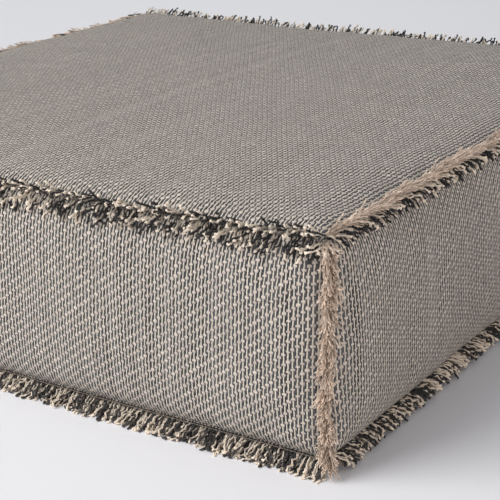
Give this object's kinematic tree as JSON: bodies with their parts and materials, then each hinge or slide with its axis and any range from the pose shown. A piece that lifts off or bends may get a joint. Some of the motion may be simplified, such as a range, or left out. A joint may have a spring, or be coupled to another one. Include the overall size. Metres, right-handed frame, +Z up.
{
  "type": "floor cushion",
  "caption": "Square boxed floor cushion with a woven cover, frayed outward seams and a zip across the back, over a wrapped foam pad.",
  "frame": {"origin": "on the floor under the middle of the cushion", "axes": "+Z up, -Y to the front panel, +X to the right panel, +Y to the back, which has the zip"},
  "size_m": [0.6284, 0.6284, 0.176],
  "materials": {
    "cover_cloth": "matte",
    "warp_ends": "matte",
    "weft_ends": "matte",
    "sewing_thread": "matte",
    "zip_tape": "matte",
    "zip_coil": "satin",
    "zip_metal": "satin",
    "liner_cloth": "matte",
    "wadding": "matte",
    "foam": "matte"
  },
  "bodies": {
    "cushion": {"top_panel": "cover_cloth", "bottom_panel": "cover_cloth", "front_panel": "cover_cloth", "right_panel": "cover_cloth", "left_panel": "cover_cloth", "back_panel_upper": "cover_cloth", "back_panel_lower": "cover_cloth", "top_panel_front_fringe": "warp_ends", "top_panel_back_fringe": "warp_ends", "top_panel_right_fringe": "weft_ends", "top_panel_left_fringe": "weft_ends", "front_panel_top_fringe": "warp_ends", "right_panel_top_fringe": "warp_ends", "back_panel_top_fringe": "warp_ends", "left_panel_top_fringe": "warp_ends", "front_panel_bottom_fringe": "warp_ends", "right_panel_bottom_fringe": "warp_ends", "back_panel_bottom_fringe": "warp_ends", "left_panel_bottom_fringe": "warp_ends", "bottom_panel_front_fringe": "warp_ends", "bottom_panel_back_fringe": "warp_ends", "bottom_panel_right_fringe": "weft_ends", "bottom_panel_left_fringe": "weft_ends", "front_panel_right_fringe": "weft_ends", "right_panel_front_fringe": "weft_ends", "right_panel_back_fringe": "weft_ends", "back_panel_right_fringe": "weft_ends", "back_panel_left_fringe": "weft_ends", "left_panel_back_fringe": "weft_ends", "left_panel_front_fringe": "weft_ends", "front_panel_left_fringe": "weft_ends", "seam_thread_top_front": "sewing_thread", "seam_thread_top_right": "sewing_thread", "seam_thread_top_back": "sewing_thread", "seam_thread_top_left": "sewing_thread", "seam_thread_bottom_front": "sewing_thread", "seam_thread_bottom_right": "sewing_thread", "seam_thread_bottom_back": "sewing_thread", "seam_thread_bottom_left": "sewing_thread", "seam_thread_front_right": "sewing_thread", "seam_thread_right_back": "sewing_thread", "seam_thread_back_left": "sewing_thread", "seam_thread_left_front": "sewing_thread", "zip_tape_upper": "zip_tape", "zip_tape_lower": "zip_tape", "zip_coil_upper": "zip_coil", "zip_coil_lower": "zip_coil", "zip_stop_closed_end": "zip_metal", "zip_stop_open_end": "zip_metal", "liner_top": "liner_cloth", "liner_bottom": "liner_cloth", "liner_band": "liner_cloth", "wadding_top": "wadding", "wadding_bottom": "wadding", "wadding_band": "wadding", "foam_core": "foam"},
    "slider": {"zip_slider": "zip_metal"},
    "puller": {"zip_puller": "zip_metal"}
  },
  "joints": [
    {"name": "zip_run", "type": "slide", "parent": "cushion", "child": "slider", "axis": [1, 0, 0], "range_m": [0, 0.428]},
    {"name": "puller_swing", "type": "hinge", "parent": "slider", "child": "puller", "pos_m": [-0.2145, 0.3087, 0.085], "axis": [0, 0, 1], "range_deg": [0, 175]}
  ]
}
